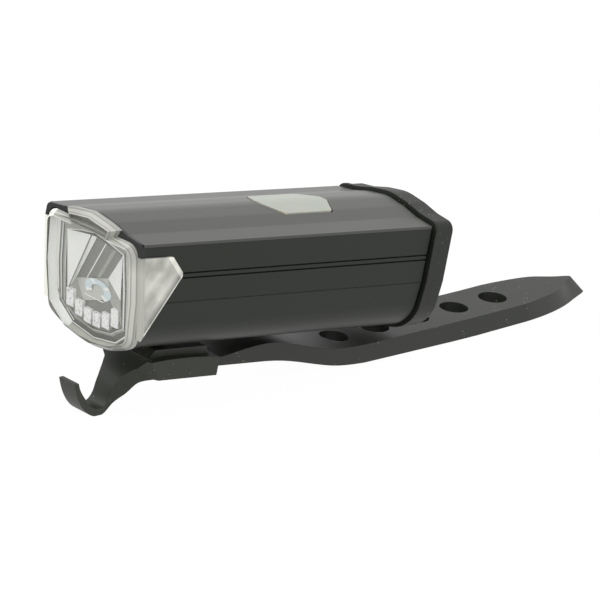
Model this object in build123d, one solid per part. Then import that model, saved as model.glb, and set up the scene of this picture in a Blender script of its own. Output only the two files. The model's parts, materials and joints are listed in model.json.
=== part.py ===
from build123d import *
import os
from math import radians, tan

os.makedirs("parts", exist_ok=True)

# Frame: millimetres. The origin is on the bracket's flat underside, where the handlebar bears.
# +Z is up through the lamp, -Y is the way the beam points, +X is the rider's left.

# How the lamp sits over the handlebar seat
seat_to_front = 26.7
seat_to_ledge = 33.7

# Lamp body section, as an extrusion along Y
cover_length = 90.0
ledge_span = 30.4
crease_span = 30.8
knee_span = 28.8
crease_drop = 13.1
belly_drop = 26.5
knee_rise = 3.1
# The knee's rounding as a share of the flank below the crease
knee_share = 0.8
housing_wall = 1.8
housing_lip_drop = 0.6
groove_drop = 6.6
groove_pitch = 1.1
groove_width = 0.36
groove_depth = 0.45
crease_groove_width = 0.2
crease_groove_depth = 0.15

# Top cover
crown_span = 20.2
crown_foot_rise = 0.65
crown_shoulder_span = 11.2
crown_shoulder_rise = 1.85
ridge_rise = 2.7
crown_foot_softness = 4.0
crown_shoulder_softness = 10.0
cover_thickness = 1.5
cover_rib_depth = 2.4
cover_rib_width = 1.2
rib_clearance = 0.12
cover_setback = 1.5
cover_front_rib = 22.0
ridge_softness = 12.0

# Front: a raked clear lens, a black frame behind it
rake_angle = 12.0
lens_lead = 1.1
lens_top_drop = 0.5
lens_side_inset = 0.6
lens_corner_radius = 3.4
lens_lip_span = 16.8
lens_lip_foot_span = 15.2
lens_knee_span = 27.6
lens_belly_extra = 0.9
lens_knee_rise = 4.0
lens_knee_share = 0.42
window_thickness = 1.8
lens_flange = 2.4
lens_bevel = 1.5
lens_skirt_wall = 1.2
lens_skirt_length = 3.6
skirt_clearance = 0.3
lens_gap = 0.15
frame_thickness = 0.8
frame_step = 0.1
frame_setback = 0.7
frame_corner_radius = 1.2
ear_back = 14.1
ear_shoulder_back = 10.1
ear_top_drop = 2.9
ear_tip_drop = 6.9
ear_tip_radius = 1.2
ear_foot_drop = 21.4
ear_foot_back = 5.0
ear_proud = 0.5
ear_recess = 0.9
ear_clearance = 0.08
gasket_thickness = 1.0
gasket_width = 1.4

# Reflector and light source
bowl_flange = 0.9
bowl_clearance = 0.3
bowl_back = 14.0
bowl_back_span = 9.0
led_drop = 14.6
# The bowl's mouth, as half widths and drops below the ledge; its back is the mouth shrunk towards the source
bowl_gable_drop = 2.9
bowl_shoulder_half = 8.5
bowl_shoulder_drop = 4.4
bowl_side_half = 9.2
bowl_side_drop = 5.2
bowl_foot_drop = 20.6
bowl_hem_half = 5.2
bowl_hem_drop = 22.0
bowl_keel_drop = 22.7
bowl_back_share = 0.5
led_board_span = 16.0
led_board_height = 13.0
led_board_thickness = 1.2
led_span = 3.5
led_thickness = 0.8
led_dome_radius = 1.5
shelf_drop = 11.4
shelf_thickness = 1.0
shelf_length = 5.5
heat_sink_length = 5.0
heat_sink_fin_count = 5
heat_sink_fin_gap = 1.4
heat_sink_fin_depth = 3.0

# Cell and chassis
cell_radius = 9.1
cell_rear_room = 14.5
cell_drop = 14.6
cell_cap_radius = 2.8
cell_cap_height = 0.8
cell_clearance = 0.3
chassis_clearance = 0.3
chassis_rear_inset = 8.0
cell_front = 26.0
chassis_top_drop = 4.4
contact_thickness = 0.3
contact_width = 5.0

# Main board
board_thickness = 1.0
board_span = 24.4
board_front_gap = 1.5
chip_span = 4.4
chip_thickness = 0.9
chip_pitch = 6.4
chip_count = 2
# From the last chip to the frame under the button
chip_gap = 1.0
connector_span = 5.0
connector_length = 3.4
connector_height = 1.9

# Power button
button_length = 20.6
button_width = 12.4
button_end_width = 2.6
button_shoulder = 3.0
button_corner = 1.0
# Where the button's middle lies, as a share of the cover's length
button_share = 0.653
button_proud = 0.2
button_gap = 0.3
button_flange = 0.9
button_flange_thickness = 0.6
button_floor_drop = 1.0
button_travel = 0.5
button_seat_gap = 0.2
glow_frame_wall = 0.8
switch_span = 4.6
switch_height = 1.3
plunger_radius = 0.9
plunger_gap = 0.05
plunger_floor = 0.4
status_led_span = 1.6
status_led_height = 0.7
status_led_offset = 6.2

# Rear: end plate, charging socket and pull-off cap
end_plate_thickness = 2.0
end_plate_clearance = 0.3
socket_width = 7.6
socket_height = 2.7
socket_length = 5.6
socket_wall = 0.35
socket_window_gap = 0.15
end_screw_radius = 0.9
end_screw_head_radius = 1.7
end_screw_head_height = 0.9
end_screw_length = 5.0
end_screw_inset = 4.0
end_screw_drop = 10.5
cap_gap = 0.9
cap_length = 6.6
cap_proud = 0.55
cap_lip = 1.3
cap_lip_proud = 0.25
cap_rear_bevel = 0.8
cap_corner_radius = 2.3
cap_back_thickness = 1.8
cap_plug_length = 4.6
cap_plug_wall = 1.4
cap_plug_clearance = 0.35
cap_seal_width = 0.8
cap_seal_clearance = 0.1

# Bracket: block, hook and swivel
block_length = 20.8
block_half_width = 8.7
block_height = 4.75
block_crown = 0.5
# The block reaches further ahead than behind, and its nose turns up a little
block_nose = 1.0
block_nose_lift = 0.2
nose_cut_length = 4.4
nose_cut_width = 5.6
nose_cut_height = 6.5
scoop_foot_half_width = 3.6
scoop_half_width = 8.3
channel_half_width = 7.5
channel_length = 6.5
channel_roof = 0.5
hook_reach = 15.2
hook_drop = 9.4
tier_length = 18.0
tier_half_width = 6.6
tier_height = 6.3
tier_end_slope = 1.4
swivel_ahead = 4.2
foot_radius = 4.3
foot_clearance = 0.3
washer_radius = 4.2
washer_thickness = 0.4
swivel_gap = 0.12
swivel_screw_radius = 1.5
swivel_hole_gap = 0.2
swivel_head_radius = 2.6
swivel_head_height = 1.4
swivel_head_depth = 0.4
swivel_socket_radius = 1.1
swivel_socket_depth = 0.9
insert_wall = 0.8

# Strap
strap_half_width = 7.2
strap_reach = 128.4
strap_rise = 10.9
strap_head_radius = 1.3
strap_pin_radius = 0.75
strap_pin_gap = 0.06
strap_pin_bite = 0.7
strap_pivot_height = 2.35
strap_pivot_inset = 2.5
strap_slope = 0.135
strap_tail_share = 0.81
strap_tail_low_rise = 3.5
strap_tail_high_rise = 10.7
hole_radius = 3.45
hole_pitch = 13.15
hole_count = 5
hole_first_reach = 47.3
# Places along the strap and heights, as shares of strap_reach and of strap_rise above the seat
strap_top_shares = [
    (0.035, 0.321), (0.092, 0.450), (0.166, 0.523), (0.220, 0.431), (0.276, 0.312), (0.346, 0.257),
    (0.432, 0.339), (0.541, 0.485), (0.675, 0.672), (0.778, 0.823), (0.868, 0.971), (1.046, 1.253),
]
strap_floor_shares = [
    (1.046, 0.810), (0.946, 0.648), (0.884, 0.550), (0.795, 0.413), (0.693, 0.248), (0.593, 0.110),
    (0.491, -0.045), (0.389, -0.128), (0.330, -0.128), (0.260, -0.018), (0.184, 0.110), (0.105, 0.135),
    (0.035, 0.138),
]
# The tail's outline just below and just above the strap: half widths as shares of strap_half_width,
# places as shares of strap_reach
tail_low_shares = [
    (1.005, 0.79), (1.0, 0.828), (0.872, 0.899), (0.668, 0.951), (0.247, 1.023), (0.0, 1.051),
]
tail_high_shares = [
    (1.005, 0.79), (0.99, 0.81), (0.861, 0.868), (0.597, 0.923), (0.222, 0.957), (0.0, 0.981),
]

# The hook from its tip to the block, as shares of hook_reach ahead of the block and of hook_drop down
hook_inner_shares = [
    (0.914, 0.160), (0.855, 0.340), (0.737, 0.553), (0.612, 0.745), (0.480, 0.819), (0.382, 0.800),
    (0.322, 0.702), (0.283, 0.553), (0.263, 0.372), (0.211, 0.181), (0.138, 0.0), (0.033, -0.186),
    (-0.09, -0.457),
]
hook_outer_shares = [
    (0.993, 0.170), (0.947, 0.340), (0.888, 0.511), (0.770, 0.755), (0.645, 0.915), (0.500, 1.0),
    (0.368, 0.979), (0.270, 0.840), (0.204, 0.670), (0.105, 0.479), (0.020, 0.260), (-0.040, 0.130),
    (-0.105, 0.055), (-0.19, 0.0),
]
# The hook's half width as shares of block_half_width, over the same reach
hook_width_shares = [
    (0.93, -0.22), (0.87, -0.165), (0.76, -0.095), (0.65, -0.033), (0.56, 0.035), (0.48, 0.095),
    (0.42, 0.14), (0.37, 0.188), (0.32, 0.237), (0.299, 0.32), (0.297, 0.42), (0.297, 0.6),
    (0.297, 0.8), (0.297, 1.1),
]

# Cutting allowance shared by every cut
overrun = 2.0

# Stations worked out from the sizes
front_y = -seat_to_front
rear_y = front_y + cover_length
ledge_z = seat_to_ledge
belly_z = ledge_z - belly_drop
rake = tan(radians(rake_angle))
half_ledge = ledge_span / 2
half_crown = crown_span / 2
wall_top_z = ledge_z - housing_lip_drop
lens_top_z = ledge_z - lens_top_drop
cover_front_y = front_y + cover_setback
half_lip = lens_lip_span / 2
housing_depth = lens_flange + frame_thickness
led_z = ledge_z - led_drop
cell_z = ledge_z - cell_drop
board_floor_z = ledge_z - chassis_top_drop
board_top_z = board_floor_z + board_thickness
block_half_length = block_length / 2
swivel_y = -swivel_ahead
insert_radius = swivel_screw_radius + insert_wall
washer_floor_z = block_height - block_crown
foot_low_z = washer_floor_z + washer_thickness + swivel_gap
pivot_y = block_half_length - strap_pivot_inset
pivot_z = strap_pivot_height
strap_tail_start = strap_tail_share * strap_reach
end_screw_x = half_ledge - end_screw_inset
ear_outer = half_ledge + ear_proud
bowl_back_y = front_y + bowl_back
chassis_front_y = bowl_back_y + led_board_thickness + heat_sink_length
chassis_rear_y = rear_y - chassis_rear_inset
end_plate_y = chassis_rear_y + end_plate_thickness
cell_front_y = front_y + cell_front
cell_rear_y = rear_y - cell_rear_room
board_front_y = chassis_front_y + board_front_gap
button_y = front_y + button_share * cover_length
button_low_z = ledge_z - button_floor_drop
last_chip_y = button_y - button_length / 2 - button_flange - chip_gap - chip_span / 2
clear_x = crease_span
clear_z = ledge_z + 2 * ridge_rise


def face_y(z, depth):
    """Y of the plane that lies depth behind the raked lens face, at height z."""
    return front_y - lens_lead + rake * (ledge_z - z) + depth


def crown_z(x):
    """Height of the cover's top at a distance x from the middle."""
    half_shoulder = crown_shoulder_span / 2
    if abs(x) < half_shoulder:
        return ledge_z + ridge_rise - (ridge_rise - crown_shoulder_rise) * abs(x) / half_shoulder
    share = (abs(x) - half_shoulder) / (half_crown - half_shoulder)
    return ledge_z + crown_shoulder_rise - (crown_shoulder_rise - crown_foot_rise) * min(share, 1)


def sketch(points):
    """Close a list of points into a face."""
    return make_face(Polyline(*points, close=True))


def mirrored(points):
    """Add the other half of an outline that is given from the middle out to the right."""
    left = [(-x, z) for x, z in reversed(points) if x > 0]
    return points + left


def above(z):
    """A wide sheet in X and Z that covers everything over a height."""
    height = 2 * clear_z - z
    return Pos(0, z + height / 2) * Rectangle(2 * clear_x, height)


def section_at(y):
    """The plane that holds a cross section at y."""
    return Plane(origin=(0, y, 0), x_dir=(1, 0, 0), z_dir=(0, -1, 0))


def prism(outline, start, end):
    """Run an outline of X and Z along Y from start to end."""
    return extrude(section_at(start) * outline, amount=start - end)


def side_prism(outline, half_width):
    """Run an outline of Y and Z to both sides of the middle plane."""
    return extrude(Plane.YZ * outline, amount=half_width, both=True)


def box(x_low, x_high, y_low, y_high, z_low, z_high):
    """A block between two corners."""
    size = (x_high - x_low, y_high - y_low, z_high - z_low)
    centre = ((x_high + x_low) / 2, (y_high + y_low) / 2, (z_high + z_low) / 2)
    return Pos(*centre) * Box(*size)


def post(radius, x, y, z_low, z_high):
    """An upright cylinder."""
    return Pos(x, y, (z_low + z_high) / 2) * Cylinder(radius, z_high - z_low)


def rod_y(radius, x, z, y_low, y_high):
    """A cylinder along Y."""
    return Pos(x, (y_low + y_high) / 2, z) * Rot(90, 0, 0) * Cylinder(radius, y_high - y_low)


def rod_x(radius, y, z, x_low, x_high):
    """A cylinder along X."""
    return Pos((x_low + x_high) / 2, y, z) * Rot(0, 90, 0) * Cylinder(radius, x_high - x_low)


def ahead_of(depth, z_low, z_high):
    """Everything in front of the raked plane at depth, between two heights."""
    far_front = face_y(z_high, 0) - overrun
    points = [
        (far_front, z_low),
        (face_y(z_low, depth), z_low),
        (face_y(z_high, depth), z_high),
        (far_front, z_high),
    ]
    return side_prism(sketch(points), clear_x)


def u_outline(top_z, inset, side_inset, knee_half, knee_z, low_z, share):
    """A U-shaped section below top_z: upright flanks with a crease, round knees and a bowed belly."""
    top_half = half_ledge - side_inset
    crease = (crease_span / 2 - side_inset, ledge_z - crease_drop)
    knee = (knee_half, knee_z)
    right = [(top_half, clear_z), (top_half, ledge_z), crease, knee]
    left = [(-x, z) for x, z in reversed(right)]
    face = make_face([
        Polyline(*left, *right),
        ThreePointArc(knee, (0, low_z), left[0]),
    ])
    knees = face.vertices().sort_by(Axis.Y)[:2]
    face = fillet(knees, radius=share * (crease[1] - knee_z))
    if inset:
        face = offset(face, amount=-inset, kind=Kind.INTERSECTION)
    return face - above(top_z)


def body_outline(top_z, inset=0.0):
    """The lamp's section below top_z, moved inwards by inset."""
    return u_outline(top_z, inset, 0, knee_span / 2, belly_z + knee_rise, belly_z, knee_share)


def lens_outline(top_z, inset=0.0):
    """The lens's section below top_z: slimmer than the body at the sides and deeper at the belly."""
    low_z = belly_z - lens_belly_extra
    knee_z = low_z + lens_knee_rise
    return u_outline(top_z, inset, lens_side_inset, lens_knee_span / 2, knee_z, low_z, lens_knee_share)


def crown_outline(lift=0.0):
    """The cover's top profile over the ledges, down to the top of the housing's walls."""
    half_shoulder = crown_shoulder_span / 2
    points = [
        (half_ledge, belly_z),
        (half_ledge, ledge_z + lift),
        (half_crown, ledge_z + crown_foot_rise + lift),
        (half_shoulder, ledge_z + crown_shoulder_rise + lift),
        (0, ledge_z + ridge_rise + lift),
    ]
    face = sketch(mirrored(points))
    for x, radius in (
        (0, ridge_softness), (half_shoulder, crown_shoulder_softness), (half_crown, crown_foot_softness)
    ):
        ends = [v for v in face.vertices() if abs(abs(v.X) - x) < groove_width and v.Y > ledge_z + lift]
        face = fillet(ends, radius=radius)
    return face & above(wall_top_z)


def full_outline():
    """The whole lamp section: housing and cover together."""
    return body_outline(ledge_z) + crown_outline()


def ear_outline(grow=0.0):
    """The lens's side ear, seen from the side: a lug that points backwards."""
    top_z = ledge_z - ear_top_drop
    foot_z = ledge_z - ear_foot_drop
    points = [
        (face_y(top_z, 0), top_z),
        (front_y + ear_shoulder_back, top_z),
        (front_y + ear_back, ledge_z - ear_tip_drop),
        (front_y + ear_foot_back, foot_z),
        (face_y(foot_z, 0), foot_z),
    ]
    face = sketch(points)
    face = fillet(face.vertices().sort_by(Axis.X)[-1], radius=ear_tip_radius)
    return offset(face, amount=grow) if grow else face


def on_sides(outline, x_inner, x_outer):
    """Place a side-view outline on both flanks between two distances from the middle."""
    right = Pos(x_inner, 0, 0) * extrude(Plane.YZ * outline, amount=x_outer - x_inner)
    return right, mirror(right, about=Plane.YZ)


def button_outline(grow=0.0):
    """The button's long six-sided outline in X and Y, around its own middle."""
    half_length = button_length / 2
    shoulder = half_length - button_shoulder
    points = [
        (button_end_width / 2, -half_length), (button_width / 2, -shoulder),
        (button_width / 2, shoulder), (button_end_width / 2, half_length),
        (-button_end_width / 2, half_length), (-button_width / 2, shoulder),
        (-button_width / 2, -shoulder), (-button_end_width / 2, -half_length),
    ]
    face = sketch(points)
    face = fillet(face.vertices(), radius=button_corner)
    return offset(face, amount=grow) if grow else face


def button_column(grow, z_low, z_high):
    """The button's outline as a column between two heights."""
    middle = Pos(0, button_y, z_low)
    return middle * extrude(button_outline(grow), amount=z_high - z_low)


def top_cover():
    """Black cover plate with two ledges and a soft ridge."""
    plate = prism(crown_outline(), cover_front_y, rear_y)
    plate -= prism(crown_outline(-cover_thickness), front_y - overrun, rear_y + overrun)
    inner_half = half_ledge - housing_wall - rib_clearance
    rib_start = front_y + cover_front_rib
    rib_end = rear_y - cap_plug_length - end_plate_thickness - overrun
    for side in (-1, 1):
        x_edges = sorted((side * inner_half, side * (inner_half - cover_rib_width)))
        plate += box(*x_edges, rib_start, rib_end, wall_top_z - cover_rib_depth, wall_top_z)
    plate -= button_column(button_gap, wall_top_z - overrun, clear_z)
    return plate


def lower_housing():
    """Black extruded shell with a pair of fine grooves along each flank."""
    shell = prism(body_outline(wall_top_z), front_y - lens_lead, rear_y)
    shell -= prism(body_outline(clear_z, housing_wall), front_y - 2 * overrun, rear_y + overrun)
    shell -= ahead_of(housing_depth, belly_z - overrun, clear_z)
    for row in range(2):
        z = ledge_z - groove_drop - row * groove_pitch
        for side in (-1, 1):
            x_edges = sorted((side * (half_ledge - groove_depth), side * clear_x))
            shell -= box(*x_edges, front_y - overrun, rear_y + overrun, z - groove_width, z)
    z = ledge_z - crease_drop
    half = crease_span / 2 - crease_groove_depth
    for side in (-1, 1):
        x_edges = sorted((side * half, side * clear_x))
        shell -= box(*x_edges, front_y - overrun, rear_y + overrun, z - crease_groove_width, z)
    for flank in on_sides(ear_outline(ear_clearance), half_ledge - ear_recess, clear_x):
        shell -= flank
    shell -= post(insert_radius, 0, swivel_y, belly_z - overrun, belly_z + housing_wall + overrun)
    return shell


def lens_plate_outline(grow=0.0):
    """Front view of the lens: a U with round shoulders and a lip up over the crown."""
    outline = lens_outline(lens_top_z + grow, -grow)
    shoulders = outline.vertices().sort_by(Axis.Y)[-2:]
    outline = fillet(shoulders, radius=lens_corner_radius)
    lip = [
        (lens_lip_foot_span / 2 + grow, lens_top_z - lens_corner_radius),
        (lens_lip_foot_span / 2 + grow, lens_top_z + grow),
        (half_lip + grow, crown_z(half_lip) + grow),
        (crown_shoulder_span / 2, ledge_z + crown_shoulder_rise + grow),
        (0, ledge_z + ridge_rise + grow),
    ]
    return outline + sketch(mirrored(lip))


def front_lens():
    """Clear lens: raked window with bevelled rim, a skirt inside the shell and two ears."""
    start = face_y(clear_z, 0) - overrun
    stop = face_y(belly_z, lens_flange) + overrun
    plate = prism(lens_plate_outline(), start, stop)
    plate -= ahead_of(0, belly_z - overrun, clear_z)
    rim = plate.faces().sort_by(Axis.Y)[0].edges()
    plate = chamfer(rim, length=lens_bevel)
    plate = plate & ahead_of(lens_flange, belly_z - overrun, clear_z)
    top = lens_top_z - skirt_clearance
    skirt_inset = housing_wall + skirt_clearance
    recess_inset = skirt_inset + lens_skirt_wall
    skirt_stop = lens_flange + lens_skirt_length
    skirt = prism(body_outline(top, skirt_inset), start, stop + overrun)
    skirt -= prism(
        body_outline(top - lens_skirt_wall, recess_inset), start - overrun, stop + 2 * overrun
    )
    skirt = skirt & ahead_of(skirt_stop, belly_z - overrun, clear_z)
    skirt -= ahead_of(lens_flange, belly_z - overrun, clear_z)
    hollow = prism(body_outline(top - lens_skirt_wall, recess_inset), start, stop)
    hollow -= ahead_of(window_thickness, belly_z - overrun, clear_z)
    lens = plate + skirt - hollow
    for flank in on_sides(ear_outline(), half_ledge - ear_recess + ear_clearance, ear_outer):
        lens += flank - ahead_of(lens_bevel, belly_z - overrun, clear_z)
    return lens


def front_frame():
    """Black bezel behind the lens: a ring on the housing, two round corners and a bar under the crown."""
    start = face_y(clear_z, 0) - overrun
    stop = face_y(belly_z, housing_depth) + overrun
    outline = full_outline()
    corners = [v for v in outline.vertices() if v.Y > wall_top_z and abs(v.X) > half_crown + frame_setback]
    block = prism(fillet(corners, radius=frame_corner_radius), start, stop)
    block = block & ahead_of(housing_depth, belly_z - overrun, clear_z)
    lower = box(-clear_x, clear_x, start, stop, belly_z - overrun, wall_top_z)
    upper = box(-clear_x, clear_x, start, cover_front_y, belly_z - overrun, clear_z)
    block = block & (lower + upper)
    block -= box(
        -clear_x, clear_x, start, front_y + frame_setback, wall_top_z - ear_top_drop, clear_z
    )
    block -= ahead_of(frame_step, belly_z - overrun, clear_z)
    block -= ahead_of(lens_flange + frame_step, belly_z - overrun, wall_top_z - ear_top_drop)
    block -= prism(body_outline(lens_top_z - lens_gap, housing_wall), start, stop)
    block -= prism(lens_plate_outline(lens_gap), start, stop) & ahead_of(
        lens_flange + frame_step, belly_z - 2 * overrun, clear_z
    )
    for flank in on_sides(ear_outline(ear_clearance), half_ledge - ear_recess, clear_x):
        block -= flank
    return block.solids().sort_by(SortBy.VOLUME)[-1]


def lens_gasket():
    """Rubber ring pressed against the end of the lens skirt."""
    inset = housing_wall + skirt_clearance
    low = lens_flange + lens_skirt_length
    start = face_y(clear_z, 0)
    stop = face_y(belly_z, low + gasket_thickness) + overrun
    top = lens_top_z - skirt_clearance
    ring = prism(body_outline(top, inset), start, stop)
    ring -= prism(body_outline(top - gasket_width, inset + gasket_width), start - overrun, stop + overrun)
    ring = ring & ahead_of(low + gasket_thickness, belly_z - overrun, clear_z)
    return ring - ahead_of(low, belly_z - overrun, clear_z)


def reflector():
    """Bright bowl with a flange behind the gasket and an open back for the light source."""
    inset = housing_wall + skirt_clearance + lens_skirt_wall + bowl_clearance
    start = face_y(clear_z, 0)
    top = lens_top_z - skirt_clearance - lens_skirt_wall - bowl_clearance
    shell = prism(body_outline(top, inset), start, bowl_back_y)
    shell -= ahead_of(window_thickness + bowl_clearance, belly_z, clear_z)
    flange_depth = lens_flange + lens_skirt_length + gasket_thickness
    flange_inset = housing_wall + skirt_clearance
    flange = prism(
        body_outline(lens_top_z - skirt_clearance, flange_inset), start,
        face_y(belly_z, flange_depth) + bowl_flange + overrun,
    )
    flange = flange & ahead_of(flange_depth + bowl_flange, belly_z - overrun, clear_z)
    flange -= ahead_of(flange_depth, belly_z - overrun, clear_z)
    shell += flange
    mouth = section_at(start) * bowl_section(1.0)
    back = section_at(bowl_back_y) * bowl_section(bowl_back_share)
    return shell - loft([mouth, back], ruled=True)


def bowl_section(share):
    """The bowl's many-sided opening, shrunk towards the light source."""
    drops = [
        (0, bowl_gable_drop), (bowl_shoulder_half, bowl_shoulder_drop), (bowl_side_half, bowl_side_drop),
        (bowl_side_half, bowl_foot_drop), (bowl_hem_half, bowl_hem_drop), (0, bowl_keel_drop),
    ]
    right = [(x * share, led_z + (led_drop - drop) * share) for x, drop in drops]
    return sketch(right + [(-x, z) for x, z in reversed(right) if x > 0])


def light_shelf():
    """Clear tray in the bowl that carries light from the source to the lower window."""
    z_high = ledge_z - shelf_drop
    y_back = bowl_back_y
    return box(
        -bowl_back_span / 2, bowl_back_span / 2, y_back - shelf_length, y_back,
        z_high - shelf_thickness, z_high,
    )


def led_board():
    """Aluminium-cored board across the back of the bowl."""
    half = led_board_span / 2
    return box(
        -half, half, bowl_back_y, bowl_back_y + led_board_thickness,
        led_z - led_board_height / 2, led_z + led_board_height / 2,
    )


def led_emitter():
    """White light source with a small dome."""
    half = led_span / 2
    chip = box(
        -half, half, bowl_back_y - led_thickness, bowl_back_y, led_z - half, led_z + half
    )
    dome = Pos(0, bowl_back_y - led_thickness, led_z) * Sphere(led_dome_radius)
    keep = box(
        -half, half, bowl_back_y - led_thickness - led_span, bowl_back_y - led_thickness / 2,
        led_z - half, led_z + half,
    )
    return chip + (dome & keep)


def heat_sink():
    """Aluminium block behind the light source, slotted from its top."""
    y_low = bowl_back_y + led_board_thickness
    inset = housing_wall + chassis_clearance
    block = prism(body_outline(board_floor_z, inset), y_low, chassis_front_y)
    pitch = 2 * heat_sink_fin_gap
    for row in range(heat_sink_fin_count):
        x = (row - (heat_sink_fin_count - 1) / 2) * pitch
        block -= box(
            x - heat_sink_fin_gap / 2, x + heat_sink_fin_gap / 2, y_low - overrun,
            chassis_front_y + overrun, board_floor_z - heat_sink_fin_depth, clear_z,
        )
    return block


def chassis():
    """Plastic cradle that slides in from the rear and holds the cell and the board."""
    inset = housing_wall + chassis_clearance
    tray = prism(body_outline(board_floor_z, inset), chassis_front_y, chassis_rear_y)
    pocket_low = cell_front_y - cell_clearance - contact_thickness
    pocket_high = cell_rear_y + cell_cap_height + cell_clearance + contact_thickness
    radius = cell_radius + cell_clearance
    tray -= rod_y(radius, 0, cell_z, pocket_low, pocket_high)
    tray -= box(-radius, radius, pocket_low, pocket_high, cell_z, clear_z)
    for side in (-1, 1):
        tray -= rod_y(
            end_screw_radius, side * end_screw_x, ledge_z - end_screw_drop,
            chassis_rear_y - end_screw_length + end_plate_thickness, chassis_rear_y + overrun,
        )
    return tray


def battery_cell():
    """Round lithium cell with its raised positive end."""
    can = rod_y(cell_radius, 0, cell_z, cell_front_y, cell_rear_y)
    return can + rod_y(cell_cap_radius, 0, cell_z, cell_rear_y, cell_rear_y + cell_cap_height)


def cell_contacts():
    """Sprung nickel strips from the cell's two ends up to the board."""
    half = contact_width / 2
    low_z = cell_z - half
    rear = cell_rear_y + cell_cap_height
    front_strip = box(-half, half, cell_front_y - contact_thickness, cell_front_y, low_z, board_floor_z)
    rear_strip = box(-half, half, rear, rear + contact_thickness, low_z, board_floor_z)
    return front_strip, rear_strip


def main_board():
    """Circuit board on the rails of the cradle."""
    half = board_span / 2
    return box(
        -half, half, board_front_y, chassis_rear_y, board_floor_z, board_top_z
    )


def board_chips():
    """Driver and charging chips on the board, ahead of the frame under the button."""
    half = chip_span / 2
    chips = []
    for row in range(chip_count):
        y = last_chip_y - chip_pitch * row
        chips.append(box(-half, half, y - half, y + half, board_top_z, board_top_z + chip_thickness))
    return chips


def led_connector():
    """Plug for the light source's leads, at the front of the board."""
    half = connector_span / 2
    return box(
        -half, half, board_front_y, board_front_y + connector_length,
        board_top_z, board_top_z + connector_height,
    )


def power_button():
    """Milky button that follows the ridge, with a flange under the cover."""
    raised = button_column(0, button_low_z, clear_z)
    top = prism(
        crown_outline(button_proud), front_y - overrun, rear_y + overrun
    ) + box(-half_ledge, half_ledge, front_y, rear_y, button_low_z - overrun, wall_top_z)
    raised = raised & top
    flange = button_column(button_flange, button_low_z, button_low_z + button_flange_thickness)
    return raised + flange


def glow_frame():
    """White frame on the board that keeps the light under the button."""
    top_z = button_low_z - button_travel - button_seat_gap
    outer = button_column(button_flange, board_top_z, top_z)
    return outer - button_column(button_flange - glow_frame_wall, belly_z, clear_z)


def tact_switch():
    """Small switch on the board under the middle of the button."""
    half = switch_span / 2
    y = button_y
    body = box(-half, half, y - half, y + half, board_top_z, board_top_z + switch_height)
    return body - post(
        plunger_radius + button_gap, 0, y, board_top_z + plunger_floor, clear_z
    )


def switch_plunger():
    """Moving stem of the switch."""
    y = button_y
    return post(
        plunger_radius, 0, y, board_top_z + plunger_floor + button_travel + plunger_gap,
        button_low_z - plunger_gap,
    )


def status_leds():
    """Two small lights on the board that glow through the milky button."""
    half = status_led_span / 2
    lights = []
    for side in (-1, 1):
        y = button_y + side * status_led_offset
        lights.append(
            box(-half, half, y - half, y + half, board_top_z, board_top_z + status_led_height)
        )
    return lights


def end_plate():
    """Inner rear plate with a window for the charging socket."""
    inset = housing_wall + end_plate_clearance
    top = wall_top_z - end_plate_clearance
    plate = prism(body_outline(top, inset), chassis_rear_y, end_plate_y)
    half = socket_width / 2 + socket_window_gap
    plate -= box(
        -half, half, chassis_rear_y - overrun, end_plate_y + overrun,
        board_top_z - socket_window_gap, clear_z,
    )
    for side in (-1, 1):
        x = side * end_screw_x
        plate -= rod_y(
            end_screw_radius, x, ledge_z - end_screw_drop, chassis_rear_y - overrun, end_plate_y
        )
        plate -= rod_y(
            end_screw_head_radius, x, ledge_z - end_screw_drop,
            end_plate_y - end_screw_head_height, end_plate_y + overrun,
        )
    return plate


def end_screws():
    """Two screws that hold the end plate to the cradle."""
    screws = []
    for side in (-1, 1):
        x = side * end_screw_x
        z = ledge_z - end_screw_drop
        shank_start = end_plate_y - end_screw_head_height
        shank = rod_y(
            end_screw_radius, x, z, chassis_rear_y - end_screw_length + end_plate_thickness, shank_start
        )
        head = rod_y(end_screw_head_radius, x, z, shank_start, end_plate_y)
        screws.append(shank + head)
    return screws


def charging_socket():
    """Small charging socket at the rear end of the board."""
    half = socket_width / 2
    y_high = end_plate_y
    z_high = board_top_z + socket_height
    shell = box(-half, half, y_high - socket_length, y_high, board_top_z, z_high)
    mouth = box(
        -half + socket_wall, half - socket_wall, y_high - socket_length + socket_wall,
        y_high + overrun, board_top_z + socket_wall, z_high - socket_wall,
    )
    core_half = half - 2 * socket_wall
    core_z = (board_top_z + z_high) / 2
    core = box(
        -core_half, core_half, y_high - socket_length + socket_wall, y_high - socket_wall,
        core_z - socket_wall, core_z + socket_wall,
    )
    return shell - mouth + core


def cap_profile(grow):
    """The lamp's whole section grown outwards for the cap, with round top corners."""
    face = offset(full_outline(), amount=grow, kind=Kind.INTERSECTION)
    corners = [
        v for v in face.vertices()
        if v.Y > wall_top_z and abs(v.X) > half_crown + cap_corner_radius
    ]
    return fillet(corners, radius=cap_corner_radius)


def rear_cap():
    """Rubbery cap that pulls off backwards: lip, hollow body and a plug inside the shell."""
    start = rear_y + cap_gap
    stop = start + cap_length
    cap = prism(cap_profile(cap_proud), start, stop - cap_rear_bevel)
    cap += loft([
        section_at(stop - cap_rear_bevel) * cap_profile(cap_proud),
        section_at(stop) * cap_profile(cap_proud - cap_rear_bevel),
    ], ruled=True)
    cap += prism(cap_profile(cap_proud + cap_lip_proud), start, start + cap_lip)
    inset = housing_wall + cap_plug_clearance
    top = wall_top_z - cap_plug_clearance
    plug = prism(body_outline(top, inset), rear_y - cap_plug_length, start + cap_lip)
    hollow = prism(
        body_outline(top - cap_plug_wall, inset + cap_plug_wall),
        rear_y - cap_plug_length - overrun, stop - cap_back_thickness,
    )
    return cap + plug - hollow


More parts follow.
